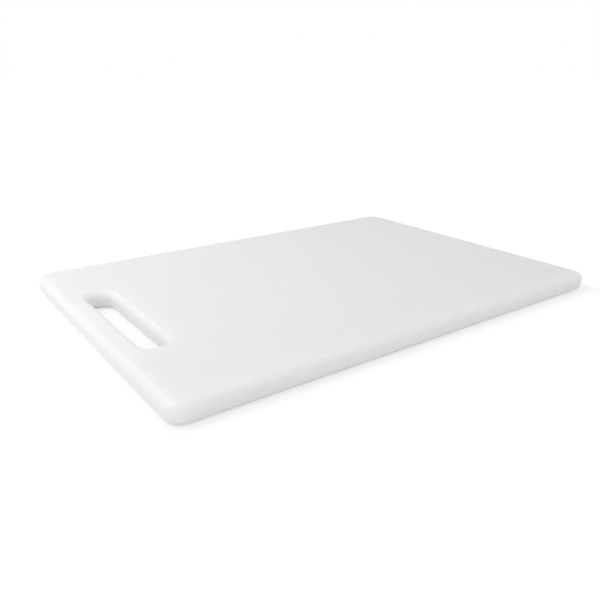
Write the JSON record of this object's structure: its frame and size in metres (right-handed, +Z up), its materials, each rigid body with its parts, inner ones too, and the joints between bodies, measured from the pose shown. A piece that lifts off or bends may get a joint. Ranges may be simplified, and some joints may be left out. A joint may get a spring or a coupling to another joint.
{
  "type": "cutting board",
  "caption": "Flat white plastic cutting board with rounded corners, rounded edges on both faces and a hand slot near one end.",
  "frame": {"origin": "centre of the board's footprint, on the face it rests on", "axes": "+Z up out of the top face, +X along the length and away from the hand slot, +Y across the width"},
  "size_m": [0.34, 0.24, 0.013],
  "materials": {
    "board_plastic": "fine satin grain, slightly translucent white polyethylene"
  },
  "bodies": {
    "root": {"board": "board_plastic"}
  },
  "joints": []
}
